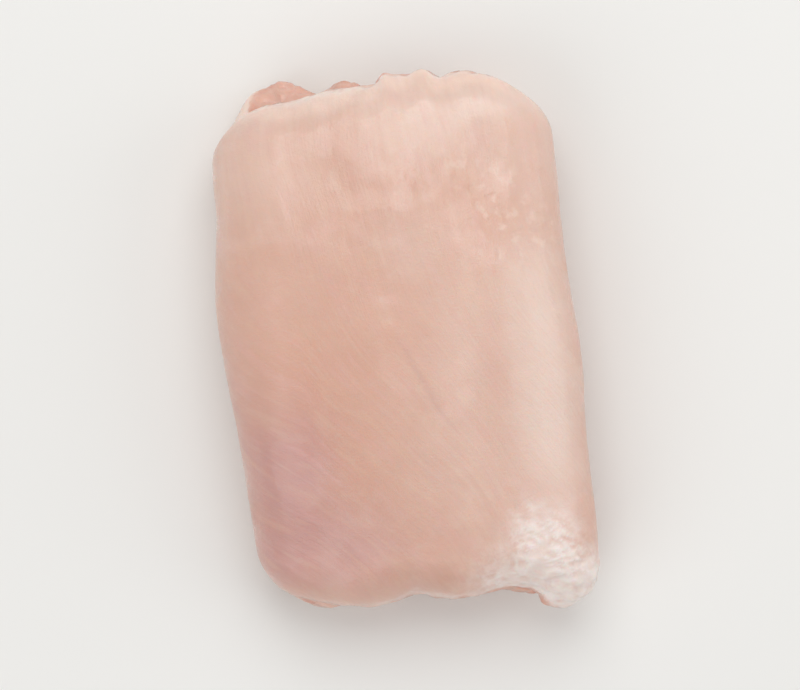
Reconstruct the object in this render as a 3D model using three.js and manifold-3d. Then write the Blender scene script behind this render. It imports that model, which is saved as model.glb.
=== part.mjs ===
// A raw chicken thigh, boned and skinned, folded into a plump packet.
// Millimetres, +Z up. The packet lies on its folded side, its long way along Y, the fat corner at -Y +X.
// It is one slab of meat. Both of its long edges turn down and under, so that the smooth side is outside all
// round, the long edges meet in a seam on the underside, and the layers show at both open ends.
import * as THREE from "three";
import { mergeVertices } from "three/addons/utils/BufferGeometryUtils.js";
import Module from "manifold-3d";

// Driving dimensions
const length = 108; // from end to end, over the tufts
const height = 30; // from the surface it lies on to the crown
const halfLength = length / 2;

const fold = {
  half: 20.5, // from the middle to where the slab starts to turn down
  turn: 23.6, // length of slab that one turn takes, measured along its middle
  level: 14, // height of the fold's middle plane, at mid-length
  lean: 0.9, // how much higher that plane is at the right turn than in the middle
  droop: 3, // how far it sinks towards both ends
  ripple: 1, // how far it waves up and down there
  rippleRun: 4.4, // distance over which a wave advances by one radian
  gap: 0.4, // from that plane to the meat
  eye: 1.2, // how much more room there is inside each turn
  settle: 0.55, // how far the flaps are pressed flat by the weight on them
};
const crown = { lift: 3.7, middle: [-2, 4], spread: [20, 44] };
const shoulder = height - fold.level - crown.lift; // thickness of the upper layer beside its crown
const endThinning = 0.18; // share of that thickness lost at both ends

// How far in from an edge the slab starts to round, and the share of its thickness that is left at the edge.
const rim = { end: 8.5, seam: 7.5, blunt: 0.22 };
// The line where the tucked edges meet: its place, its swaying, and how wide it stands open.
const seam = { middle: 1.2, slant: 0.07, sway: 1.9, finer: 0.7, open: 0.9, widens: 0.6 };
// The open ends: how far they reach without tufts, and how much the turns and the flaps' corners draw back.
const openEnd = { far: halfLength - 2.4, near: halfLength - 3.4 };
const drawnBack = { turn: 6.8, turnSpread: 6.2, corner: 4.5, cornerRun: 12 };
const core = { half: 22.5, above: 4.6, below: 7.4, inset: 3.4, roundOff: 5 }; // the meat inside the fold
const strand = { halfLength: 43, radius: 2.7, wide: 1.25, height: 5.2 }; // fat along the bottom of the seam
const bead = { count: 8, small: 1.9, large: 3.6, flat: 0.7 }; // lumps of fat on it

// Half the width at places along the packet: [along, left, right]
const sides = [
  [-54, 31.4, 32],
  [-42, 34.4, 33.9],
  [-28, 34.3, 34.3],
  [-12, 34.7, 34.2],
  [4, 35.7, 33.6],
  [18, 36, 33],
  [34, 35, 32.9],
  [44, 33.2, 32],
  [54, 30.5, 29.4],
];

// Tufts and bays of the open ends: [across the slab, spread, reach]
const farTufts = [
  [-57, 4, 1.9],
  [-51.5, 2.4, -1],
  [-43.8, 6, 3.1],
  [-31, 5, 2.8],
  [-20, 7, -1.7],
  [0.3, 1.3, 1.7],
  [2.4, 1.9, 1.7],
  [5.2, 1.8, 0.9],
  [7.6, 2, 2.1],
  [9.2, 1.3, 0.9],
  [15.5, 4.2, 1.4],
  [31, 5, 2.4],
  [46, 5, -1.6],
  [56, 4, 0.8],
];
const nearTufts = [
  [-54, 5, -1.6],
  [-44, 4, 0.8],
  [-32, 6, 4.2],
  [-24, 6, -1.2],
  [-12, 4.6, 0.6],
  [-2, 3.2, -1.2],
  [6, 5, 0.4],
  [16, 4, -0.9],
  [26, 3.2, 3.3],
  [31, 4.2, 9.8],
  [43, 5, 1.4],
  [57, 5, -1.4],
];

// Swells and hollows of the outer surface: [across the slab, along, spread across, spread along, lift]
const swells = [
  [-10, 14, 13, 24, 0.5], // the broad muscle
  [16, -8, 7, 24, 0.6], // the narrow muscle beside it
  [6, 24, 3.5, 14, -0.4], // the shallow valley between them
  [3, -12, 4, 18, -0.35],
  [-26, -44, 13, 13, -3.2], // the corner that sinks away
  [25, -45, 8, 9, 1.2], // the fat corner
  [15, 36, 6, 7, -0.6], // a dent near the far end
  [-16, 42, 8, 6, 0.5],
  [-40, -18, 6, 12, -0.7],
  [40, 20, 6, 14, -0.8],
  [-55, 12, 8, 16, -1.1], // hollows under the tucked flaps
  [52, -14, 7, 18, -1.1],
  [-50, -32, 8, 9, 0.5],
  [54, 32, 7, 10, 0.5],
];

const mix = THREE.MathUtils.lerp;
const clamp = THREE.MathUtils.clamp;
const bell = (t) => Math.exp(-t * t);
const rounded = (t) => (t >= 1 ? 1 : Math.sqrt(1 - (1 - Math.max(t, 0)) ** 2));
const draw = (n) => {
  const wide = Math.sin(n * 12.9898 + 4.1414) * 43758.5453;
  return wide - Math.floor(wide);
};

// Slow unevenness, as of soft meat.
const waves = Array.from({ length: 8 }, (unused, n) => ({
  across: mix(-0.24, 0.24, draw(n + 0.1)),
  along: mix(0.05, 0.24, draw(n + 0.5)),
  phase: 2 * Math.PI * draw(n + 0.9),
  lift: 0.12,
}));
const waveAt = (wave, x, y) => wave.lift * Math.sin(wave.across * x + wave.along * y + wave.phase);
const uneven = (across, along) => waves.reduce((sum, wave) => sum + waveAt(wave, across, along), 0);

// A smooth curve through rows of [place, value, ...], read at one column.
function through(rows, column, at) {
  const last = rows.length - 1;
  const place = clamp(at, rows[0][0], rows[last][0]);
  let i = 0;
  while (i < last - 1 && place > rows[i + 1][0]) i += 1;
  const slope = (k) => {
    const [before, after] = [rows[Math.max(k - 1, 0)], rows[Math.min(k + 1, last)]];
    return (after[column] - before[column]) / (after[0] - before[0]);
  };
  const step = rows[i + 1][0] - rows[i][0];
  const t = (place - rows[i][0]) / step;
  return (
    rows[i][column] * (1 + 2 * t) * (1 - t) ** 2 +
    rows[i + 1][column] * (3 - 2 * t) * t * t +
    step * t * (1 - t) * (slope(i) * (1 - t) - slope(i + 1) * t)
  );
}

const tuftsAt = (tufts, across) =>
  tufts.reduce((sum, [middle, spread, reach]) => sum + reach * bell((across - middle) / spread), 0);

// How far the slab reaches towards an open end, at a place across it.
function endReach(base, tufts, across, edges) {
  const fromTurn = Math.abs(across) - fold.half - fold.turn / 2;
  const turned = drawnBack.turn * bell(fromTurn / drawnBack.turnSpread);
  const toEdge = Math.max(Math.min(across - edges[0], edges[1] - across), 0);
  const corner = drawnBack.corner * Math.max(1 - toEdge / drawnBack.cornerRun, 0) ** 2;
  return base - turned - corner + tuftsAt(tufts, across);
}

// Where the flaps' long edges meet along the underside, and how wide the seam stands open there.
const seamLine = (along) =>
  seam.middle +
  seam.slant * along +
  seam.sway * Math.sin(along / 9 + 0.6) +
  seam.finer * Math.sin(along / 4.1 + 2);
const seamOpen = (along) => seam.open + seam.widens * (1 + Math.sin(along / 13 - 0.8));

// The slab's two long edges, measured across the slab. An edge right under its middle would be at slabHalf.
const slabHalf = 2 * fold.half + fold.turn;
const leftEdge = (along) => -(slabHalf + seamLine(along) - seamOpen(along) / 2);
const rightEdge = (along) => slabHalf - seamLine(along) - seamOpen(along) / 2;
const farCorners = [leftEdge(openEnd.far), rightEdge(openEnd.far)];
const nearCorners = [leftEdge(-openEnd.near), rightEdge(-openEnd.near)];
const farEnd = (across) => endReach(openEnd.far, farTufts, across, farCorners);
const nearEnd = (across) => -endReach(openEnd.near, nearTufts, across, nearCorners);

// Height of the fold's middle plane.
const leanAt = (x) => (fold.lean * x) / fold.half;
const foldLevel = (x, along) => {
  const wave = fold.ripple * Math.sin(x / fold.rippleRun + along / 30 + 0.8);
  return fold.level + leanAt(x) + (wave - fold.droop) * Math.abs(along / halfLength) ** 3;
};

// Distance from the fold's middle plane to the outer surface.
function outerReach(across, along, angle, x) {
  const level = foldLevel(x, along);
  const upper = shoulder * (1 - endThinning * Math.abs(along / halfLength) ** 3) - leanAt(x);
  const side = through(sides, across < 0 ? 1 : 2, along) - fold.half;
  const fromSide = Math.sin(angle) ** 2;
  const flat = angle < Math.PI / 2 ? upper : level + fold.settle;
  const crownHere =
    crown.lift *
    bell((across - crown.middle[0]) / crown.spread[0]) *
    bell((along - crown.middle[1]) / crown.spread[1]);
  const relief = swells.reduce(
    (sum, [x, y, wide, long, lift]) => sum + lift * bell((across - x) / wide) * bell((along - y) / long),
    0,
  );
  return mix(flat, side, fromSide) + crownHere + relief + uneven(across, along);
}

// A point of the folded slab. across and along are places on the slab, and side is 1 outside and -1 inside.
function foldedPoint(across, along, side, shareOfThickness) {
  const hand = Math.sign(across) || 1;
  const past = Math.abs(across) - fold.half;
  const angle = Math.PI * clamp(past / fold.turn, 0, 1);
  const straight = Math.abs(across) - clamp(past, 0, fold.turn);
  const x = hand * (past > fold.turn ? 2 * fold.half - straight : Math.min(straight, fold.half));
  const inner = fold.gap + fold.eye * Math.sin(angle) ** 2;
  const outer = outerReach(across, along, angle, x);
  const pinch = 1 - shareOfThickness;
  const edgeHeight = mix(0.24, 0.4, angle / Math.PI); // the edges keep to the fold, so that it stays shut
  const reach =
    side > 0
      ? outer - pinch * (1 - edgeHeight) * (outer - inner)
      : inner + pinch * edgeHeight * (outer - inner);
  const z = foldLevel(x, along) + reach * Math.cos(angle);
  return [x + hand * reach * Math.sin(angle), Math.max(z, 0)];
}

// Grid lines crowd towards both ends, where the edges are round.
const crowded = (t) => 0.28 * t + 0.72 * Math.sin((Math.PI / 2) * t);

function slab() {
  const geometry = new THREE.BoxGeometry(2, 2, 2, 76, 40, 1);
  const place = geometry.attributes.position;
  for (let i = 0; i < place.count; i += 1) {
    const b = crowded(place.getY(i));
    const nominal = b * openEnd.near;
    const a = 0.75 * place.getX(i) + 0.25 * Math.sin((Math.PI / 2) * place.getX(i));
    const across = mix(leftEdge(nominal), rightEdge(nominal), (a + 1) / 2);
    const along = mix(nearEnd(across), farEnd(across), (b + 1) / 2);
    const fromEnd = Math.min(farEnd(across) - along, along - nearEnd(across));
    const fromSeam = Math.min(across - leftEdge(nominal), rightEdge(nominal) - across);
    const share = rounded(fromEnd / rim.end) * rounded(fromSeam / rim.seam);
    const [x, z] = foldedPoint(across, along, place.getZ(i), Math.max(share, rim.blunt));
    place.setXYZ(i, x, along, z);
  }
  return geometry;
}

// The meat inside the fold. It ends a little way in from the edges of the layers above and below it.
function innerMeat() {
  const geometry = new THREE.BoxGeometry(2, 2, 2, 36, 4, 2);
  const place = geometry.attributes.position;
  for (let i = 0; i < place.count; i += 1) {
    const x = place.getX(i) * core.half;
    const under = (Math.sign(x) || 1) * (slabHalf - Math.abs(x));
    const inset = core.inset + core.roundOff * Math.abs(x / core.half) ** 6;
    const far = Math.min(farEnd(x), farEnd(under)) - inset;
    const near = Math.max(nearEnd(x), nearEnd(under)) + inset;
    const along = mix(near, far, (place.getY(i) + 1) / 2);
    const fromLevel = mix(-core.below, core.above, (place.getZ(i) + 1) / 2);
    place.setXYZ(i, x, along, foldLevel(x, along) + fromLevel);
  }
  return geometry;
}

// The strand of fat that lies in the seam, thicker and thinner by turns.
function seamStrand() {
  const geometry = new THREE.CylinderGeometry(1, 1, 2, 10, 28);
  const place = geometry.attributes.position;
  for (let i = 0; i < place.count; i += 1) {
    const [across, t, up] = [place.getX(i), place.getY(i), place.getZ(i)];
    const along = t * strand.halfLength;
    const swell = 1 + 0.2 * Math.sin(along / 5 + 1) + 0.14 * Math.sin(along / 2.3);
    const radius = strand.radius * swell * (1 - 0.75 * t ** 8);
    place.setXYZ(i, seamLine(along) + across * radius * strand.wide, along, strand.height + up * radius);
  }
  return geometry;
}

// A lump of fat: a ball drawn out and turned at random, flattened where it would reach below the surface.
function fatLump(n, radius, [x, y, z]) {
  const geometry = new THREE.SphereGeometry(radius, 10, 7);
  geometry.scale(mix(0.8, 1.2, draw(n)), mix(1, 2.1, draw(n + 0.3)), bead.flat);
  geometry.rotateZ(mix(-0.7, 0.7, draw(n + 0.6)));
  geometry.translate(x, y, z);
  const place = geometry.attributes.position;
  for (let i = 0; i < place.count; i += 1) place.setZ(i, Math.max(place.getZ(i), 0.35));
  return geometry;
}

function seamFat() {
  return Array.from({ length: bead.count }, (unused, n) => {
    const along = mix(-40, 42, (n + 0.9 * draw(n + 7)) / bead.count);
    const x = seamLine(along) + mix(-2.6, 2.6, draw(n + 11));
    const radius = mix(bead.small, bead.large, draw(n + 17));
    return fatLump(n, radius, [x, along, mix(2.4, 3.8, draw(n + 23))]);
  });
}

const wasm = await Module();
wasm.setup();

function solidFrom(geometry) {
  geometry.deleteAttribute("normal");
  geometry.deleteAttribute("uv");
  const merged = mergeVertices(geometry, 1e-4);
  const mesh = new wasm.Mesh({
    numProp: 3,
    vertProperties: merged.attributes.position.array,
    triVerts: new Uint32Array(merged.index.array),
  });
  return new wasm.Manifold(mesh);
}

function geometryFrom(solid) {
  const { vertProperties, triVerts } = solid.getMesh();
  return new THREE.BufferGeometry()
    .setAttribute("position", new THREE.BufferAttribute(vertProperties, 3))
    .setIndex(new THREE.BufferAttribute(triVerts, 1));
}

function thighMesh() {
  const inside = [innerMeat(), seamStrand(), ...seamFat()];
  const meat = inside.reduce((whole, piece) => whole.add(solidFrom(piece)), solidFrom(slab()));
  const geometry = geometryFrom(meat);
  geometry.computeBoundingBox();
  const middle = geometry.boundingBox.getCenter(new THREE.Vector3());
  geometry.translate(-middle.x, -middle.y, 0);
  geometry.computeVertexNormals();
  const rawMeat = new THREE.MeshStandardMaterial({ color: 0xdcb4a4, roughness: 0.32, metalness: 0 });
  const mesh = new THREE.Mesh(geometry, rawMeat);
  mesh.name = "chicken_thigh";
  return mesh;
}

const thigh = new THREE.Group();
thigh.add(thighMesh());

export default thigh;
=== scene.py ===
import math
from types import SimpleNamespace

import bmesh
import bpy
import numpy as np
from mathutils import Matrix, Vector, noise


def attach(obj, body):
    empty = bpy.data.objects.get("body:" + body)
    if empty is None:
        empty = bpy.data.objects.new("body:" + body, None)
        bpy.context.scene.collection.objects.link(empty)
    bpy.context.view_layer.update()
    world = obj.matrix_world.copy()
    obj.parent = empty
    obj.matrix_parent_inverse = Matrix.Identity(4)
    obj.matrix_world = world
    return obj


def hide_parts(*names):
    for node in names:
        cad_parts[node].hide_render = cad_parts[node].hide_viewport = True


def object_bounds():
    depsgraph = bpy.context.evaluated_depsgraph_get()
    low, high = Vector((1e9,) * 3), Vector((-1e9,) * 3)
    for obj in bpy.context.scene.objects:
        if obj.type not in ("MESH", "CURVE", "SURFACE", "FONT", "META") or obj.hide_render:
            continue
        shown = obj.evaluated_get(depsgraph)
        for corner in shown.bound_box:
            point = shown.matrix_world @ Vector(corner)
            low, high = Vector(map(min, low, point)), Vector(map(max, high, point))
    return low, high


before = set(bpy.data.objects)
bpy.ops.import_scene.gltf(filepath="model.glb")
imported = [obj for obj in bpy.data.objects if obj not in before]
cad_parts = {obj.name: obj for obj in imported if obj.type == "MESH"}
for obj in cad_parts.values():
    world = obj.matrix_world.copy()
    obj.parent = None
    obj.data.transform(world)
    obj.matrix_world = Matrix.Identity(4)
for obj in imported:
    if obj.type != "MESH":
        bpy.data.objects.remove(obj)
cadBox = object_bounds()
print("frame loaded")

mm = 0.001
noiseApart = 17.3  # how far the noise of one seed lies from that of the next, in lumps
cellsApart = 9.1  # the same for cells
softening = 0.5  # how far one softening takes a point towards the middle of its neighbours


def tint(red, green, blue):
    # a screen colour, 0 to 255, as the linear one that shaders take
    def linear(value):
        value /= 255
        return value / 12.92 if value <= 0.04045 else ((value + 0.055) / 1.055) ** 2.4

    return (linear(red), linear(green), linear(blue), 1.0)


# Small maths on whole arrays of points, all in millimetres

def bell(t):
    return np.exp(-t * t)


def mix(first, second, share):
    return first + (second - first) * share


def ramp(low, high, value):
    t = np.clip((value - low) / (high - low), 0, 1)
    return t * t * (3 - 2 * t)


def rounded(t):
    # the rise of a quarter circle, from 0 to 1
    return np.sqrt(1 - (1 - np.clip(t, 0, 1)) ** 2)


def crowded(t, even, bunched):
    # places from -1 to 1, drawn closer together towards both ends
    return even * t + bunched * np.sin(math.pi / 2 * t)


def waveAt(wave, along):
    size, run, phase = wave
    return size * np.sin(along / run + phase)


def draw(n):
    # a random number from 0 to 1 that is always the same for one n
    wide = math.sin(n * 12.9898 + 4.1414) * 43758.5453
    return wide - math.floor(wide)


def drawFrom(row, n):
    # a random number for n from a row of the lowest, the highest and a seed
    low, high, seed = row
    return mix(low, high, draw(n + seed))


def through(rows, column, at):
    # a smooth curve through rows of (place, value, ...), read at one column
    place = np.array([row[0] for row in rows], float)
    value = np.array([row[column] for row in rows], float)
    slope = np.gradient(value, place)
    slope[1:-1] = (value[2:] - value[:-2]) / (place[2:] - place[:-2])
    at = np.clip(at, place[0], place[-1])
    i = np.clip(np.searchsorted(place, at, side="left") - 1, 0, len(place) - 2)
    step = place[i + 1] - place[i]
    t = (at - place[i]) / step
    return (value[i] * (1 + 2 * t) * (1 - t) ** 2 + value[i + 1] * (3 - 2 * t) * t * t
            + step * t * (1 - t) * (slope[i] * (1 - t) - slope[i + 1] * t))


def spotsAt(rows, across, along):
    # soft spots added up, from rows of across, along, spread across, spread along, strength
    return sum(strength * bell((across - a) / wide) * bell((along - b) / long)
               for a, b, wide, long, strength in rows)


def roughNoise(points, wide, seed, stretch=(1, 1, 1)):
    # soft noise from -1 to 1, with lumps about this many millimetres wide
    scaled = points / (np.array(stretch) * wide) + seed * noiseApart
    return np.array([noise.noise(Vector(p)) for p in scaled])


def cellEdges(points, wide, seed, stretch=(1, 1, 1)):
    # distance from the border between two cells, as a share of a cell's width
    scaled = points / (np.array(stretch) * wide) + seed * cellsApart
    found = [noise.voronoi(Vector(p))[0] for p in scaled]
    return np.array([d[1] - d[0] for d in found])


# The meat: one slab, folded under along both of its long edges

meat = {
    # the fold: half of its flat part, the slab's length round one turn, the height of its middle plane
    "halfLength": 54, "height": 30, "foldHalf": 20.5, "turn": 23.6, "level": 14, "lean": 0.9, "droop": 3,
    "ripple": 1, "rippleRun": 4.4, "rippleDrift": 30, "ripplePhase": 0.8,
    # what the layers leave open between them, flat and at the turns
    "gap": 0.4, "eye": 1.2,
    "settle": 0.55,  # how far the underside is pressed against the level that it lies on
    # the crown, and how much thinner the top is at both ends
    "crownLift": 3.7, "crownAt": (-2, 4), "crownSpread": (20, 44), "endThinning": 0.18,
    # the run over which the slab's edges round off, how blunt they stay, and how high in its thickness
    # they lie, on top and underneath
    "rimEnd": 8.5, "rimSeam": 7.5, "rimBlunt": 0.22, "edgeHeight": (0.24, 0.4),
    # the seam; each wave is its size, its run along the packet and its phase
    "seamMiddle": 1.2, "seamSlant": 0.07, "seamSway": (1.9, 9, 0.6), "seamFiner": (0.7, 4.1, 2),
    "seamOpen": 0.9, "seamWidens": 0.6, "seamWave": (1, 13, -0.8),
    # the open ends: their reach, and how far the turned sides and the corners stay back
    "far": 51.6, "near": 50.6, "turnBack": 6.8, "turnBackSpread": 6.2, "cornerBack": 4.5, "cornerRun": 12,
    # the core that fills the fold
    "coreHalf": 22.5, "coreAbove": 4.6, "coreBelow": 7.4, "coreInset": 3.4, "coreRoundOff": 5,
    # low waves all over: how many, how high, and what their radians per millimetre and their phases are
    # drawn from
    "waves": 8, "waveHeight": 0.12, "waveAcross": (-0.24, 0.24, 0.1), "waveAlong": (0.05, 0.24, 0.5),
    "wavePhase": (0, 2 * math.pi, 0.9),
    "middle": (-1.0492, -0.0782),  # of the slab's own box, which the finished part is centred on
    # the mesh: cuts across, along and up, and how they crowd towards the edges
    "cuts": (228, 176, 0), "coreCuts": (60, 30, 6), "crowdAcross": (0.75, 0.25), "crowdAlong": (0.28, 0.72),
    "voxel": 0.52, "softenings": 3, "lowest": 0,
}

# half the width at places along the packet: along, left, right
sides = [(-54, 31.4, 32), (-42, 34.4, 33.9), (-28, 34.3, 34.3), (-12, 34.7, 34.2), (4, 35.7, 33.6),
         (18, 36, 33), (34, 35, 32.9), (44, 33.2, 32), (54, 30.5, 29.4)]

# tufts and bays of the open ends: across the slab, spread, reach
farTufts = [(-57, 4, 1.9), (-51.5, 2.4, -1), (-43.8, 6, 3.1), (-31, 5, 2.8), (-20, 7, -1.7), (0.3, 1.3, 1.7),
            (2.4, 1.9, 1.7), (5.2, 1.8, 0.9), (7.6, 2, 2.1), (9.2, 1.3, 0.9), (15.5, 4.2, 1.4), (31, 5, 2.4),
            (46, 5, -1.6), (56, 4, 0.8)]
nearTufts = [(-54, 5, -1.6), (-44, 4, 0.8), (-32, 6, 4.2), (-24, 6, -1.2), (-12, 4.6, 0.6), (-2, 3.2, -1.2),
             (6, 5, 0.4), (16, 4, -0.9), (26, 3.2, 3.3), (31, 4.2, 9.8), (43, 5, 1.4), (57, 5, -1.4)]

# swells and hollows of the outer surface: across, along, spread across, spread along, lift
swells = [(-10, 14, 13, 24, 0.5), (16, -8, 7, 24, 0.6), (6, 24, 3.5, 14, -0.4), (3, -12, 4, 18, -0.35),
          (-26, -44, 13, 13, -3.2), (25, -45, 8, 9, 1.2), (15, 36, 6, 7, -0.6), (-16, 42, 8, 6, 0.5),
          (-40, -18, 6, 12, -0.7), (40, 20, 6, 14, -0.8), (-55, 12, 8, 16, -1.1), (52, -14, 7, 18, -1.1),
          (-50, -32, 8, 9, 0.5), (54, 32, 7, 10, 0.5)]

waves = [[drawFrom(meat[name], n) for name in ("waveAcross", "waveAlong", "wavePhase")]
         for n in range(meat["waves"])]

shoulder = meat["height"] - meat["level"] - meat["crownLift"]
slabHalf = 2 * meat["foldHalf"] + meat["turn"]


def uneven(across, along):
    return sum(meat["waveHeight"] * np.sin(a * across + b * along + phase) for a, b, phase in waves)


def tuftsAt(tufts, across):
    return sum(reach * bell((across - middle) / spread) for middle, spread, reach in tufts)


def seamLine(along):
    straight = meat["seamMiddle"] + meat["seamSlant"] * along
    return straight + waveAt(meat["seamSway"], along) + waveAt(meat["seamFiner"], along)


def seamWidth(along):
    return meat["seamOpen"] + meat["seamWidens"] * (1 + waveAt(meat["seamWave"], along))


def leftEdge(along):
    return -(slabHalf + seamLine(along) - seamWidth(along) / 2)


def rightEdge(along):
    return slabHalf - seamLine(along) - seamWidth(along) / 2


def endReach(base, tufts, across, low, high):
    beyond = np.abs(across) - meat["foldHalf"]
    turned = meat["turnBack"] * bell((beyond - meat["turn"] / 2) / meat["turnBackSpread"])
    toEdge = np.maximum(np.minimum(across - low, high - across), 0)
    corner = meat["cornerBack"] * np.maximum(1 - toEdge / meat["cornerRun"], 0) ** 2
    return base - turned - corner + tuftsAt(tufts, across)


def farEnd(across):
    return endReach(meat["far"], farTufts, across, leftEdge(meat["far"]), rightEdge(meat["far"]))


def nearEnd(across):
    return -endReach(meat["near"], nearTufts, across, leftEdge(-meat["near"]), rightEdge(-meat["near"]))


def towardsEnd(along):
    # next to nothing along the middle, and 1 at both ends
    return np.abs(along / meat["halfLength"]) ** 3


def leanAt(x):
    return meat["lean"] * x / meat["foldHalf"]


def foldLevel(x, along):
    drift = x / meat["rippleRun"] + along / meat["rippleDrift"] + meat["ripplePhase"]
    wave = meat["ripple"] * np.sin(drift)
    return meat["level"] + leanAt(x) + (wave - meat["droop"]) * towardsEnd(along)


def outerReach(across, along, angle, x):
    # from the fold's middle plane to the outer surface
    upper = shoulder * (1 - meat["endThinning"] * towardsEnd(along)) - leanAt(x)
    flat = np.where(angle < math.pi / 2, upper, foldLevel(x, along) + meat["settle"])
    side = np.where(across < 0, through(sides, 1, along), through(sides, 2, along)) - meat["foldHalf"]
    crown = spotsAt([(*meat["crownAt"], *meat["crownSpread"], meat["crownLift"])], across, along)
    relief = spotsAt(swells, across, along)
    return mix(flat, side, np.sin(angle) ** 2) + crown + relief + uneven(across, along)


def innerReach(angle):
    return meat["gap"] + meat["eye"] * np.sin(angle) ** 2


def foldedPoint(across, along, outside, share):
    # a place on the slab's outer or inner face, brought to where the fold puts it
    hand = np.where(across < 0, -1.0, 1.0)
    past = np.abs(across) - meat["foldHalf"]
    angle = math.pi * np.clip(past / meat["turn"], 0, 1)
    straight = np.abs(across) - np.clip(past, 0, meat["turn"])
    under = 2 * meat["foldHalf"] - straight
    x = hand * np.where(past > meat["turn"], under, np.minimum(straight, meat["foldHalf"]))
    inner = innerReach(angle)
    outer = outerReach(across, along, angle, x)
    edgeHeight = mix(*meat["edgeHeight"], angle / math.pi)
    reach = np.where(outside > 0, outer - (1 - share) * (1 - edgeHeight) * (outer - inner),
                     inner + (1 - share) * edgeHeight * (outer - inner))
    z = foldLevel(x, along) + reach * np.cos(angle)
    return x + hand * reach * np.sin(angle), np.maximum(z, 0)


def unfolded(points):
    # where a point of the packet lies on the flat slab, how deep in it, and which way is out
    x, along, z = points.T
    onFold = np.clip(x, -meat["foldHalf"], meat["foldHalf"])
    beyond = np.abs(x) - meat["foldHalf"]
    up = z - foldLevel(onFold, along)
    angle = np.where(beyond > 0, np.arctan2(beyond, up), np.where(up > 0, 0, math.pi))
    reach = np.where(beyond > 0, np.hypot(beyond, up), np.abs(up))
    seamHand = np.where(x < seamLine(along), -1, 1)
    hand = np.where(x < 0, -1, 1)
    flat = np.where(up > 0, x, seamHand * (slabHalf - seamHand * x))
    across = np.where(beyond > 0, hand * (meat["foldHalf"] + meat["turn"] * angle / math.pi), flat)
    inner = innerReach(angle)
    outer = outerReach(across, along, angle, onFold)
    sideways = np.where(beyond > 0, hand * np.sin(angle), 0)
    outward = np.stack([sideways, np.zeros_like(x), np.cos(angle)], 1)
    return across, along, (reach - inner) / (outer - inner), outward


# Meshes, made by bmesh and shaped as whole arrays of points

def readPoints(mesh):
    flat = np.zeros(len(mesh.vertices) * 3)
    mesh.vertices.foreach_get("co", flat)
    return flat.reshape(-1, 3)


def normalsOf(mesh):
    flat = np.zeros(len(mesh.vertices) * 3)
    mesh.vertex_normals.foreach_get("vector", flat)
    return flat.reshape(-1, 3)


def writePoints(mesh, points):
    mesh.vertices.foreach_set("co", points.astype(np.float32).ravel())
    mesh.update()


def setMask(mesh, name, values):
    made = mesh.attributes.new(name, "FLOAT", "POINT")
    made.data.foreach_set("value", values.astype(np.float32))


def setVector(mesh, name, values):
    made = mesh.attributes.new(name, "FLOAT_VECTOR", "POINT")
    made.data.foreach_set("vector", values.astype(np.float32).ravel())


def meshFrom(bm, name):
    mesh = bpy.data.meshes.new(name)
    bm.to_mesh(mesh)
    bm.free()
    return mesh


def addObject(name, data):
    made = bpy.data.objects.new(name, data)
    bpy.context.scene.collection.objects.link(made)
    return made


def cutLongEdges(bm, axis, cuts):
    # cuts the edges that still run all the way from -1 to 1 along one axis
    edges = [e for e in bm.edges if abs((e.verts[0].co - e.verts[1].co)[axis]) > 1]
    bmesh.ops.subdivide_edges(bm, edges=edges, cuts=cuts)


def blockMesh(name, cuts):
    # a cube from -1 to 1, cut into a grid across, along and up
    bm = bmesh.new()
    bmesh.ops.create_cube(bm, size=2)
    for axis, number in enumerate(cuts):
        if number:
            cutLongEdges(bm, axis, number)
    return meshFrom(bm, name)


def slabMesh():
    mesh = blockMesh("slab", meat["cuts"])
    cube = readPoints(mesh)
    a = crowded(cube[:, 0], *meat["crowdAcross"])
    b = crowded(cube[:, 1], *meat["crowdAlong"])
    nominal = b * meat["near"]
    left = leftEdge(nominal)
    right = rightEdge(nominal)
    across = mix(left, right, (a + 1) / 2)
    far = farEnd(across)
    near = nearEnd(across)
    along = mix(near, far, (b + 1) / 2)
    fromEnd = np.minimum(far - along, along - near)
    fromSeam = np.minimum(across - left, right - across)
    share = rounded(fromEnd / meat["rimEnd"]) * rounded(fromSeam / meat["rimSeam"])
    x, z = foldedPoint(across, along, cube[:, 2], np.maximum(share, meat["rimBlunt"]))
    writePoints(mesh, np.stack([x, along, z], 1))
    return mesh


def coreMesh():
    mesh = blockMesh("core", meat["coreCuts"])
    cube = readPoints(mesh)
    x = cube[:, 0] * meat["coreHalf"]
    under = np.where(x < 0, -1, 1) * (slabHalf - np.abs(x))
    inset = meat["coreInset"] + meat["coreRoundOff"] * np.abs(x / meat["coreHalf"]) ** 6
    far = np.minimum(farEnd(x), farEnd(under)) - inset
    near = np.maximum(nearEnd(x), nearEnd(under)) + inset
    along = mix(near, far, (cube[:, 1] + 1) / 2)
    z = foldLevel(x, along) + mix(-meat["coreBelow"], meat["coreAbove"], (cube[:, 2] + 1) / 2)
    writePoints(mesh, np.stack([x, along, z], 1))
    return mesh


def fused(name, meshes, voxel):
    # one closed skin round several shapes that run into each other
    bm = bmesh.new()
    for mesh in meshes:
        bm.from_mesh(mesh)
        bpy.data.meshes.remove(mesh)
    bmesh.ops.recalc_face_normals(bm, faces=bm.faces)
    joined = meshFrom(bm, name)
    piece = addObject(name, joined)
    remesh = piece.modifiers.new("skin", "REMESH")
    remesh.mode = "VOXEL"
    remesh.voxel_size = voxel
    bpy.context.view_layer.update()
    skin = bpy.data.meshes.new_from_object(piece.evaluated_get(bpy.context.evaluated_depsgraph_get()))
    piece.modifiers.clear()
    piece.data = skin
    bpy.data.meshes.remove(joined)
    skin.name = name
    print(name, "fused:", len(skin.polygons), "faces")
    return piece


def softened(mesh, times):
    bm = bmesh.new()
    bm.from_mesh(mesh)
    for _ in range(times):
        bmesh.ops.smooth_vert(bm, verts=bm.verts, factor=softening, use_axis_x=True, use_axis_y=True,
                              use_axis_z=True)
    bm.to_mesh(mesh)
    bm.free()
    mesh.update()


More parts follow.
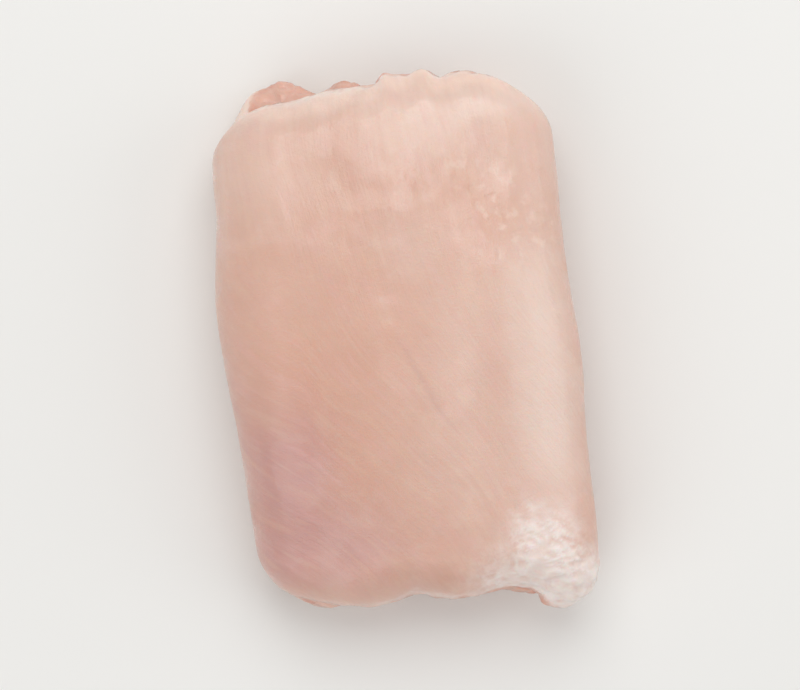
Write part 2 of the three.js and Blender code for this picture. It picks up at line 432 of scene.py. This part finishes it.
def finishMesh(mesh, points, lowest):
    # in metres, centred as the part is, with nothing under the lowest level
    points[:, 2] = np.maximum(points[:, 2], lowest)
    points[:, :2] -= meat["middle"]
    writePoints(mesh, points * mm)
    mesh.shade_smooth()


meatLook = {
    # patches of the smooth side: across, along, spread across, spread along, strength
    "patches": {
        "fatCorner": [(21.8, -39, 5.4, 7, 0.85), (27.5, -49.5, 6.5, 6, 1.1), (17, -48, 8, 4, 0.75),
                      (12.5, -42, 6, 6, 0.35), (36, -47, 5.5, 7, 0.4)],
        # the fat tip, painted whiter where it curves away into shade: white fat and painted light
        "litTip": [(28.5, -51, 7.5, 5, 1)],
        # fascia: the whitish membrane, partly painted sheen on the right shoulder, with a small patch of
        # painted highlight at the top middle
        "fasciaAndSheen": [(21, 33, 6, 8, 0.4), (24, 8, 5, 13, 0.8), (24.5, -14, 5.2, 14, 0.95),
                   (25, -28, 5, 10, 0.5), (21, 46, 9, 4, 0.6), (2, 39, 8, 7, 0.2), (4, 18, 6, 9, 0.35),
                   (9, -6, 6, 12, 0.3)],
        # purple patches: a purplish tone, and painted shade on the lower left, where the meat sinks away
        "purpleAndShade": [(-23, -21, 8, 12, 0.95), (-14, -39, 12, 9, 0.75), (-28, -38, 8, 11, 0.7),
                   (-32, -4, 5, 18, 0.4), (-46, 24, 8, 11, 0.5), (39, -30, 6, 12, 0.45),
                   (52, 22, 8, 12, 0.5), (-56, -16, 7, 12, 0.4)],
        # warm patches: a warmer, darker tone, and painted shade in a strip along the right edge
        "warmAndShade": [(-17, -10, 13, 22, 1), (-5, -32, 11, 12, 0.3), (17, 30, 5, 7, 0.75), (18, 20, 5, 7, 0.8),
                 (5, 14, 5, 8, 0.4), (32.5, 6, 3.6, 34, 0.9), (-41, -18, 7, 15, 0.6), (46, 40, 7, 8, 0.5)],
        "film": [(-42, 4, 8, 15, 0.8), (-54, 34, 8, 9, 0.9), (-50, -34, 9, 10, 0.8), (41, 22, 6, 12, 0.7),
                 (50, -8, 9, 13, 0.9), (56, -36, 7, 9, 0.8), (38, -22, 5, 9, 0.6)],
        # pale patches: paler flesh in places, and painted light: the highlight at the top middle, the light
        # along the far end and along the left edge
        "paleAndLight": [(3, 42, 9, 7, 0.6), (0, 51, 24, 6, 0.6), (-25, 36, 12, 13, 0.65), (13, 8, 7, 18, 0.5),
                 (-1, 20, 6, 6, 0.3), (11, 41, 7, 6, 0.5), (3, -23, 6, 9, 0.3), (13, -26, 9, 14, 0.6),
                 (30, 40, 7, 9, 0.6), (20, 47, 11, 6, 0.7), (-18, 49.5, 15, 5, 0.8),
                 (-34, 2, 4.5, 40, 0.75)],
        # flecks: pale specks with small pits, partly painted glints
        "flecks": [(2, 31, 5, 4, 0.45), (20, 27, 4.5, 5, 1), (23, 19, 6, 6, 1), (14, 35, 5, 6, 0.7),
                   (26, -8, 5, 9, 0.4), (-1, 24, 3, 5, 0.3)],
    },
    "crinkles": [(22.3, -41.6, 4, 5.2, 1.1), (20, -35, 3, 3.5, 0.3), (15.5, -48, 7, 3.5, 0.5),
                 (26, -46, 3, 3.5, 0.4), (30, -50, 5, 5, 0.4)],
    "fuller": [(33, -50.5, 7, 4.5, 1), (-37, 50.5, 5, 3.5, 0.7)],
    # a faint vein, as places along the packet and across the slab, with the run over which it fades at
    # both ends, half its width and how far it wanders
    "vein": [(-20, 10), (-14, 6), (-6, 2.2), (3, -2.8)], "veinFade": 6, "veinHalf": 0.7, "veinWander": 0.5,
    # noises and cells: width in millimetres, seed and stretch
    "noises": {
        "ragged": (2.2, 1), "raggedFine": (0.9, 2), "strands": (1.5, 3, (1, 11, 3)),
        "strandsFine": (0.8, 4, (1, 14, 3)), "torn": (2.4, 6), "creaseAcross": (2.2, 7),
        "pits": (1.6, 8, (1, 1.4, 1)), "soft": (6, 9), "fibreSway": (16, 10), "creaseAlong": (2.2, 13),
        "creaseGaps": (3, 14), "fatty": (2.6, 15), "dimples": (2.6, 17), "veinSway": (4, 18),
        "rimSway": (4, 19),
    },
    "cells": {"bundles": (3.6, 5, (1.3, 1, 0.8)), "creases": (1.15, 16, (2.5, 1, 1)), "lobes": (2.6, 21)},
    "thick": 12,  # what the slab's thickness counts as in the flat places
    # where the smooth side ends: how ragged its border is, which way it faces and how deep it lies
    "ragged": 0.16, "raggedFine": 0.1, "smoothFacing": (-0.05, 0.35), "smoothDepth": (0.25, 0.5),
    # the run of the fibres: a lean, a bend in the nearer half that is less on the right, and a sway
    "fibreLean": 0.12, "fibreBend": 4.5, "bendAt": 4, "bendRun": 6, "bendAcross": (0, 34), "bendRight": 0.55,
    "fibreWave": (1.5, 24, 0.6), "fibreSway": 1.8, "strandsFine": 0.5,
    # the creases of the fat corner, which run downhill across it, more steeply away from its tip
    "creaseLean": 0.2, "creaseMiddle": 22.6, "creaseDrop": 0.14, "creaseDropMore": 0.56,
    "creaseDropAlong": (-46.5, -41.5), "creaseWander": 0.6, "creaseHalf": 0.22, "creaseGaps": (-0.55, 0.05),
    # the heights of the relief in millimetres, and where each shows
    "fibre": 0.035, "fibreCalm": 0.75, "bundle": 0.34, "bundleHalf": 0.16, "torn": 0.3,
    "wrinkle": 0.28, "wrinkleFrom": (0.1, 0.8), "wrinkleLevel": 0.3, "pit": 0.17, "pitFrom": (0.05, 0.6),
    "soft": 0.12, "dimple": 0.045, "fatty": 0.3, "plump": 1.7, "plumpDepth": (0.1, 0.6),
    "lobe": 0.3, "lobeHalf": 0.2,
    # the end of the flap that looks out at the far left
    "flapReach": 2.2, "flapAt": -36.5, "flapSpread": 3.6, "flapAlong": (41, 50),
    # the membrane's pale edge, partly a painted highlight line, the borders of the bundles, the ledges,
    # painted paler as light from above, the sides, in painted shade, and the rim, in painted light
    "edgeFacing": 0.3, "edgeRagged": 0.6, "edgeHalf": 0.11, "edgeDepth": (0.3, 0.6), "edgeFromEnd": (9, 5),
    "bundlePale": 0.11, "ledgeFacing": (0.1, 0.8), "sideShadeAcross": (25, 36),
    "rimFromEnd": (5.5, 0.2), "rimWander": 2, "rimNear": 0.2, "rimAlong": (-10, 10),
}


def meatNoise(name, place):
    return roughNoise(place, *meatLook["noises"][name])


def meatCells(name, place):
    return cellEdges(place, *meatLook["cells"][name])


def patch(rows, skin):
    return np.clip(spotsAt(rows, skin.across, skin.along), 0, 1)


def veinAt(across, along):
    rows = meatLook["vein"]
    start = rows[0][0]
    end = rows[-1][0]
    fades = ramp(start, start + meatLook["veinFade"], along) * ramp(end, end - meatLook["veinFade"], along)
    return fades * bell((across - through(rows, 1, along)) / meatLook["veinHalf"])


def fibrePlaces(skin):
    # the flat places, sheared so that their second direction follows the fibres
    look = meatLook
    bend = look["fibreBend"] * np.logaddexp(0, (look["bendAt"] - skin.along) / look["bendRun"])
    bend *= mix(1, look["bendRight"], ramp(*look["bendAcross"], skin.across))
    sway = look["fibreSway"] * meatNoise("fibreSway", skin.flatPlace)
    places = skin.flatPlace.copy()
    places[:, 0] += look["fibreLean"] * skin.along - bend + waveAt(look["fibreWave"], skin.along) + sway
    return places


def creaseWeb(skin):
    # the net of fine folds that the fat corner is crinkled into
    look = meatLook
    drop = look["creaseDrop"] + look["creaseDropMore"] * ramp(*look["creaseDropAlong"], skin.along)
    across = skin.across - look["creaseLean"] * skin.along
    along = skin.along + drop * (skin.across - look["creaseMiddle"])
    across += look["creaseWander"] * meatNoise("creaseAcross", skin.flatPlace)
    along += look["creaseWander"] * meatNoise("creaseAlong", skin.flatPlace)
    creases = meatCells("creases", np.stack([across, along, 0 * along], 1))
    gaps = ramp(*look["creaseGaps"], meatNoise("creaseGaps", skin.flatPlace))
    return bell(creases / look["creaseHalf"]) * gaps


def readSkin(mesh):
    # where each point of the fused mesh lies on the flat slab, and what its look depends on
    look = meatLook
    skin = SimpleNamespace(points=readPoints(mesh), normals=normalsOf(mesh))
    skin.across, skin.along, skin.depth, outward = unfolded(skin.points)
    skin.flatPlace = np.stack([skin.across, skin.along, skin.depth * look["thick"]], 1)
    skin.fibrePlace = fibrePlaces(skin)
    skin.facing = np.sum(skin.normals * outward, 1)
    skin.fromEnd = np.minimum(farEnd(skin.across) - skin.along, skin.along - nearEnd(skin.across))
    skin.ragged = (look["ragged"] * meatNoise("ragged", skin.flatPlace)
                   + look["raggedFine"] * meatNoise("raggedFine", skin.flatPlace))
    skin.smooth = (ramp(*look["smoothFacing"], skin.facing + skin.ragged)
                   * ramp(*look["smoothDepth"], skin.depth + skin.ragged))
    skin.cut = 1 - skin.smooth
    skin.bundles = meatCells("bundles", skin.points)
    skin.crinkles = patch(look["crinkles"], skin) * skin.smooth
    skin.web = creaseWeb(skin)
    return skin


def meatMasks(skin):
    # what the material reads, from 0 to 1
    look = meatLook
    masks = {name: patch(rows, skin) * skin.smooth for name, rows in look["patches"].items()}
    # a thin pale line along the rims of the ends: membrane and a painted highlight
    border = bell((skin.facing + look["edgeRagged"] * skin.ragged - look["edgeFacing"]) / look["edgeHalf"])
    deepEnough = ramp(*look["edgeDepth"], skin.depth + skin.ragged)
    masks["edge"] = border * deepEnough * ramp(*look["edgeFromEnd"], skin.fromEnd)
    masks["web"] = skin.web * skin.crinkles
    masks["cut"] = skin.cut
    masks["bundleEdge"] = skin.cut * bell(skin.bundles / look["bundlePale"])
    # cut faces that look up are painted paler: painted light from above
    masks["ledge"] = skin.cut * ramp(*look["ledgeFacing"], skin.normals[:, 2])
    # the sides: painted shade, darker and warmer towards the outline
    sideShade = ramp(*look["sideShadeAcross"], np.abs(skin.across))
    masks["side"] = sideShade * skin.smooth * (1 - masks["fatCorner"])
    wander = look["veinWander"] * meatNoise("veinSway", skin.flatPlace)
    masks["vein"] = veinAt(skin.across + wander, skin.along) * skin.smooth
    # the rim of the ends, painted lighter where it curves down away from the lamp: painted light, weaker at
    # the near end
    wander = look["rimWander"] * meatNoise("rimSway", skin.flatPlace)
    litRimFarther = mix(look["rimNear"], 1, ramp(*look["rimAlong"], skin.along))
    masks["rim"] = ramp(*look["rimFromEnd"], skin.fromEnd + wander) * litRimFarther * skin.smooth
    return masks


def meatRelief(skin, masks):
    # how far each point moves along its normal, in millimetres
    look = meatLook
    strands = meatNoise("strands", skin.fibrePlace)
    strands += look["strandsFine"] * meatNoise("strandsFine", skin.fibrePlace)
    calm = (1 - masks["fasciaAndSheen"]) * (1 - look["fibreCalm"] * masks["paleAndLight"])
    relief = look["fibre"] * strands * skin.smooth * calm
    relief -= look["bundle"] * skin.cut * bell(skin.bundles / look["bundleHalf"])
    relief += look["torn"] * skin.cut * meatNoise("torn", skin.points)
    crinkled = ramp(*look["wrinkleFrom"], skin.crinkles)
    relief += look["wrinkle"] * crinkled * (skin.web - look["wrinkleLevel"])
    pits = ramp(*look["pitFrom"], meatNoise("pits", skin.flatPlace))
    relief -= look["pit"] * masks["flecks"] * pits
    relief += (look["soft"] * meatNoise("soft", skin.points)
               + look["dimple"] * meatNoise("dimples", skin.points) * skin.smooth)
    relief += look["fatty"] * masks["fatCorner"] ** 2 * meatNoise("fatty", skin.points)
    relief += look["plump"] * patch(look["fuller"], skin) * ramp(*look["plumpDepth"], skin.depth)
    relief -= look["lobe"] * masks["litTip"] * bell(meatCells("lobes", skin.points) / look["lobeHalf"])
    return relief


def makeMeat():
    piece = fused("thighMeat", [slabMesh(), coreMesh()], meat["voxel"])
    mesh = piece.data
    softened(mesh, meat["softenings"])
    skin = readSkin(mesh)
    masks = meatMasks(skin)
    moved = skin.points + skin.normals * meatRelief(skin, masks)[:, None]
    flap = bell((skin.across - meatLook["flapAt"]) / meatLook["flapSpread"])
    moved[:, 1] += meatLook["flapReach"] * flap * ramp(*meatLook["flapAlong"], skin.along)
    finishMesh(mesh, moved, meat["lowest"])
    setVector(mesh, "flatPlace", skin.flatPlace)
    setVector(mesh, "fibrePlace", skin.fibrePlace)
    for name, values in masks.items():
        setMask(mesh, name, values)
    return piece


# The fat: a strand along the seam with lumps beside it

fat = {
    # the strand, from end to end; each swell is its size, its run along the strand and its phase
    "halfLength": 43, "radius": 2.7, "wide": 1.25, "height": 5.2, "taper": 0.75,
    "swell": (0.2, 5, 1), "smallSwell": (0.14, 2.3, 0), "sides": 20, "cuts": 160,
    # the lumps: how many, how fine, how flat, between which places, and what their measures are drawn from
    "count": 8, "steps": 3, "flat": 0.7, "between": (-40, 42), "jitter": (0, 0.9, 7),
    "beside": (-2.6, 2.6, 11), "lift": (2.4, 3.8, 23), "size": (1.9, 3.6, 17),
    "width": (0.8, 1.2, 0), "length": (1, 2.1, 0.3), "lumpTurn": (-0.7, 0.7, 0.6),
    # the skin and its relief
    "voxel": 0.34, "softenings": 2, "rough": 0.18, "roughNoise": (1.6, 12),
    "lobe": 0.2, "lobeHalf": 0.14, "lobeCells": (2.1, 11), "lowest": 0.25,
}


def strandMesh():
    bm = bmesh.new()
    bmesh.ops.create_cone(bm, cap_ends=True, segments=fat["sides"], radius1=1, radius2=1, depth=2)
    cutLongEdges(bm, axis=2, cuts=fat["cuts"])
    mesh = meshFrom(bm, "strand")
    tube = readPoints(mesh)
    t = tube[:, 2]
    along = t * fat["halfLength"]
    swell = 1 + waveAt(fat["swell"], along) + waveAt(fat["smallSwell"], along)
    radius = fat["radius"] * swell * (1 - fat["taper"] * t ** 8)
    across = seamLine(along) + tube[:, 0] * radius * fat["wide"]
    writePoints(mesh, np.stack([across, along, fat["height"] + tube[:, 1] * radius], 1))
    return mesh


def lumpMesh(place, radii, turn):
    bm = bmesh.new()
    bmesh.ops.create_icosphere(bm, subdivisions=fat["steps"], radius=1)
    bmesh.ops.scale(bm, vec=radii, verts=bm.verts)
    mesh = meshFrom(bm, "lump")
    x, y, z = readPoints(mesh).T
    cosine = math.cos(turn)
    sine = math.sin(turn)
    turned = np.stack([x * cosine - y * sine, x * sine + y * cosine, z], 1)
    writePoints(mesh, turned + np.array(place))
    return mesh


def makeFat():
    shapes = [strandMesh()]
    for n in range(fat["count"]):
        drawn = {name: drawFrom(fat[name], n)
                 for name in ("jitter", "beside", "lift", "size", "width", "length", "lumpTurn")}
        along = mix(*fat["between"], (n + drawn["jitter"]) / fat["count"])
        place = (seamLine(along) + drawn["beside"], along, drawn["lift"])
        radii = [drawn["size"] * stretch for stretch in (drawn["width"], drawn["length"], fat["flat"])]
        shapes.append(lumpMesh(place, radii, drawn["lumpTurn"]))
    piece = fused("thighFat", shapes, fat["voxel"])
    mesh = piece.data
    softened(mesh, fat["softenings"])
    points = readPoints(mesh)
    lobes = bell(cellEdges(points, *fat["lobeCells"]) / fat["lobeHalf"])
    relief = fat["rough"] * roughNoise(points, *fat["roughNoise"]) - fat["lobe"] * lobes
    finishMesh(mesh, points + normalsOf(mesh) * relief[:, None], fat["lowest"])
    return piece


# Materials

class Wire:
    # a socket, or the sum, product and so on of several, built from Math nodes
    def __init__(self, net, socket):
        self.net = net
        self.socket = socket

    def maths(self, operation, *values):
        return self.net.add("ShaderNodeMath", {"operation": operation}, dict(enumerate(values)))

    def __add__(self, other):
        return self.maths("ADD", self, other)

    def __radd__(self, other):
        return self.maths("ADD", other, self)

    def __sub__(self, other):
        return self.maths("SUBTRACT", self, other)

    def __rsub__(self, other):
        return self.maths("SUBTRACT", other, self)

    def __mul__(self, other):
        return self.maths("MULTIPLY", self, other)

    def __rmul__(self, other):
        return self.maths("MULTIPLY", other, self)

    def step(self, low, high):
        # 0 as far as low, 1 from high on, smooth in between
        return self.net.add("ShaderNodeMapRange", {"interpolation_type": "SMOOTHSTEP"},
                            {"Value": self, "From Min": low, "From Max": high})


class Net:
    def __init__(self, name):
        self.material = bpy.data.materials.new(name)
        self.material.use_nodes = True
        self.tree = self.material.node_tree
        self.tree.nodes.clear()

    def add(self, kind, settings=None, sockets=None, output=0):
        made = self.tree.nodes.new(kind)
        for name, value in (settings or {}).items():
            setattr(made, name, value)
        for name, value in (sockets or {}).items():
            if isinstance(value, Wire):
                self.tree.links.new(value.socket, made.inputs[name])
            else:
                made.inputs[name].default_value = value
        return Wire(self, made.outputs[output]) if len(made.outputs) else None

    def solidPlace(self):
        return self.add("ShaderNodeTexCoord", {}, {}, "Object")

    def mask(self, name):
        return self.add("ShaderNodeAttribute", {"attribute_name": name}, {}, "Fac")

    def place(self, name):
        return self.add("ShaderNodeAttribute", {"attribute_name": name}, {}, "Vector")

    def blend(self, share, first, second):
        return self.add("ShaderNodeMix", {"data_type": "RGBA"}, {0: share, 6: first, 7: second}, 2)

    def noise(self, place, scale, detail=2.0, roughness=0.5, stretch=None):
        if stretch:
            place = self.add("ShaderNodeVectorMath", {"operation": "MULTIPLY"}, {0: place, 1: stretch})
        sockets = {"Vector": place, "Scale": scale, "Detail": detail, "Roughness": roughness}
        return self.add("ShaderNodeTexNoise", {}, sockets, "Fac")

    def finish(self, sockets, bump=None, bumpDepth=0.0):
        if bump:
            sockets["Normal"] = self.add("ShaderNodeBump", {}, {"Height": bump, "Distance": bumpDepth})
        shader = self.add("ShaderNodeBsdfPrincipled", {}, sockets)
        self.add("ShaderNodeOutputMaterial", {}, {"Surface": shader})
        return self.material


# pale, fascia, fleck, rim, ledge and, on the fat tip and the ends' edges, web also serve as painted light;
# side, warm and purple in places serve as painted shade
fleshColours = {
    "flesh": tint(221, 181, 163), "deep": tint(215, 170, 151), "paleAndLight": tint(233, 204, 190),
    "warmAndShade": tint(214, 165, 143), "purpleAndShade": tint(200, 150, 144), "fasciaAndSheen": tint(236, 214, 202),
    "fat": tint(243, 229, 222), "cut": tint(214, 150, 130), "cutPale": tint(230, 182, 164),
    "vein": tint(176, 132, 136), "glintFleck": tint(240, 218, 205), "pink": tint(225, 180, 172),
    "cream": tint(228, 196, 172), "side": tint(217, 170, 152), "film": tint(235, 214, 204),
    "web": tint(250, 242, 238), "rim": tint(250, 219, 202), "ledge": tint(235, 193, 175),
}

fatColours = {"white": tint(244, 227, 214), "cream": tint(238, 210, 192), "pink": tint(228, 182, 168)}

# noises of the colours: scale, detail, roughness and stretch, on the flat slab, along its fibres and in
# the solid piece, where the scale is for metres
flatNoises = {
    "broad": (0.05, 2), "blotches": (0.16, 3), "specks": (1.6, 2), "pores": (5, 2), "lobes": (0.55, 3),
    "flecks": (0.6, 3, 0.5, (1, 0.7, 1)), "wet": (0.13, 4, 0.6),
}
fibreNoises = {
    "fibres": (1, 2, 0.5, (0.9, 0.06, 0.3)), "fineFibres": (1, 2, 0.5, (3.2, 0.2, 1)),
    "mottles": (1, 3, 0.55, (0.42, 0.13, 0.3)), "film": (1, 3, 0.55, (0.28, 0.11, 0.28)),
}
solidNoises = {"torn": (260, 3), "cream": (180, 3), "pink": (420, 2)}


def painted(net, colours, under, layers):
    # layers over one another, each the name of its colour and how much of it shows
    colour = colours[under]
    for name, share in layers:
        colour = net.blend(share, colour, colours[name])
    return colour


def fleshMaterial():
    net = Net("rawThighMeat")
    mask = net.mask
    flatPlace = net.place("flatPlace")
    fibrePlace = net.place("fibrePlace")
    grain = SimpleNamespace(torn=net.noise(net.solidPlace(), *solidNoises["torn"]))
    for name, row in flatNoises.items():
        setattr(grain, name, net.noise(flatPlace, *row))
    for name, row in fibreNoises.items():
        setattr(grain, name, net.noise(fibrePlace, *row))
    cut = mask("cut")
    # the film is torn into patches along the fibres, and the fat ends in lobes
    film = mask("film") * (grain.film + grain.fineFibres * 0.12).step(0.46, 0.7)
    lobes = grain.lobes * 1.3 + 0.25
    fatty = (mask("fatCorner") * lobes).step(0.05, 1.05)
    bare = painted(net, fleshColours, "cut", [
        ("cutPale", grain.torn.step(0.4, 0.68)),
        ("paleAndLight", mask("bundleEdge") * 0.5),
        # cut faces that look up painted paler: painted light from above
        ("ledge", mask("ledge") * 0.75),
    ])
    colour = painted(net, fleshColours | {"bare": bare}, "flesh", [
        ("deep", grain.broad.step(0.36, 0.66)),
        ("paleAndLight", grain.blotches.step(0.5, 0.72) * 0.3),
        # the sides in painted shade, darker and warmer towards the outline
        ("side", mask("side") * (0.3 + grain.broad * 0.8)),
        # warm patches: a warmer, darker tone, and painted shade in a strip along the right edge
        ("warmAndShade", mask("warmAndShade") * (0.45 + grain.blotches * 0.8)),
        # pale patches: paler flesh, and painted light at the top middle, along the far end and along the
        # left edge
        ("paleAndLight", mask("paleAndLight") * (0.5 + grain.fibres * 0.6)),
        # purplish patches: a purplish tone, and painted shade on the lower left, where the meat sinks away
        ("purpleAndShade", mask("purpleAndShade") * (0.55 + grain.blotches * 0.6)),
        ("paleAndLight", grain.fibres.step(0.52, 0.78) * 0.1),
        ("deep", grain.fibres.step(0.5, 0.28) * (0.16 - mask("paleAndLight") * 0.12)),
        ("pink", grain.mottles.step(0.48, 0.75) * 0.26),
        ("cream", grain.mottles.step(0.52, 0.28) * 0.2),
        # the whitish membrane, partly painted sheen on the right shoulder and at the top middle
        ("fasciaAndSheen", mask("fasciaAndSheen") * (0.55 + grain.fineFibres * 0.45)),
        ("film", film * 0.8),
        # painted light on the rim of the ends, where it curves away from the lamp
        ("rim", mask("rim") * (0.3 + grain.blotches * 0.4 + grain.fibres * 0.4)),
        ("vein", mask("vein") * 0.16),
        # pale specks, partly painted glints
        ("glintFleck", mask("flecks") * grain.flecks.step(0.5, 0.7) * 0.4),
        ("fat", fatty * 0.82),
        # the fat tip painted whiter where it curves away into shade: white fat and painted light
        ("web", (mask("litTip") * lobes).step(0.2, 1.15) * 0.5),
        ("web", mask("web") * 0.75),
        ("bare", cut * 0.9),
        # a thin pale line along the rims of the ends: membrane and a painted highlight
        ("web", mask("edge") * (0.1 + grain.specks * 0.6)),
    ])
    bump = (grain.fineFibres * 0.35 + grain.fibres * 0.5 + grain.specks * 0.5 + grain.pores * 0.3
            + film * 0.4)
    return net.finish({
        "Base Color": colour,
        "Roughness": 0.36 + (grain.blotches - 0.5) * 0.25 - fatty * 0.06 - cut * 0.06 + film * 0.05,
        "Coat Weight": 0.22 + grain.wet.step(0.42, 0.6) * 0.5, "Coat Roughness": 0.14,
        "Subsurface Weight": 0.35, "Subsurface Radius": (1.0, 0.42, 0.26), "Subsurface Scale": 0.004,
        "Specular IOR Level": 0.5, "IOR": 1.4,
    }, bump, bumpDepth=0.00016)


def fatMaterial():
    net = Net("thighFatWhite")
    solid = net.solidPlace()
    cream = net.noise(solid, *solidNoises["cream"])
    pink = net.noise(solid, *solidNoises["pink"])
    colour = painted(net, fatColours, "white", [
        ("cream", cream.step(0.4, 0.65)),
        ("pink", pink.step(0.55, 0.75) * 0.5),
    ])
    return net.finish({
        "Base Color": colour, "Roughness": 0.34 + cream * 0.15,
        "Coat Weight": 0.25, "Coat Roughness": 0.2,
        "Subsurface Weight": 0.35, "Subsurface Radius": (1.0, 0.6, 0.4), "Subsurface Scale": 0.003,
    }, pink + cream * 0.5, bumpDepth=0.0002)


# The scene

studio = {
    # the camera looks straight down, turned by its lean in degrees, and sees so much from bottom to top
    "cameraHeight": 0.9, "viewHeight": 0.134, "picture": (800, 690), "lean": -5.1, "sensor": 36,
    "clip": (0.01, 20),
    # the area lights: place, size, power
    "lights": {
        "key": ((0.06, 0.4, 0.62), 0.6, 2.5),
        "fill": ((-0.4, -0.3, 0.5), 0.6, 1.3),
        "side": ((0.55, -0.05, 0.3), 0.5, 0.75),
    },
    "worldStrength": 0.46, "floorHalf": 3, "floorColour": (238, 237, 234), "floorRoughness": 0.9,
}


def addCamera():
    data = bpy.data.cameras.new("camera")
    wide, high = studio["picture"]
    span = studio["viewHeight"] * wide / high  # measured level with the top of the meat
    data.sensor_width = studio["sensor"]
    data.lens = studio["sensor"] * (studio["cameraHeight"] - cadBox[1].z) / span
    data.clip_start, data.clip_end = studio["clip"]
    camera = addObject("camera", data)
    camera.location = (0, 0, studio["cameraHeight"])
    camera.rotation_euler = (0, 0, math.radians(studio["lean"]))
    bpy.context.scene.camera = camera


def addLight(name, place, size, power):
    data = bpy.data.lights.new(name, "AREA")
    data.shape = "SQUARE"
    data.size = size
    data.energy = power
    lamp = addObject(name, data)
    lamp.location = place
    lamp.rotation_euler = (-Vector(place)).to_track_quat("-Z", "Y").to_euler()


def addWorld():
    world = bpy.data.worlds.new("world")
    world.use_nodes = True
    background = world.node_tree.nodes["Background"]
    background.inputs["Color"].default_value = (1, 1, 1, 1)
    background.inputs["Strength"].default_value = studio["worldStrength"]
    bpy.context.scene.world = world


def addFloor():
    bm = bmesh.new()
    bmesh.ops.create_grid(bm, x_segments=1, y_segments=1, size=studio["floorHalf"])
    floor = addObject("floor", meshFrom(bm, "floor"))
    sockets = {"Base Color": tint(*studio["floorColour"]), "Roughness": studio["floorRoughness"]}
    floor.data.materials.append(Net("paleFloor").finish(sockets))


addCamera()
for name, (place, size, power) in studio["lights"].items():
    addLight(name, place, size, power)
addWorld()
addFloor()
bpy.context.scene.view_settings.view_transform = "Standard"
print("studio made")

for piece, material in ((makeMeat(), fleshMaterial()), (makeFat(), fatMaterial())):
    piece.data.materials.append(material)
    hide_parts("chicken_thigh")
    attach(piece, "root")
print("thigh made")
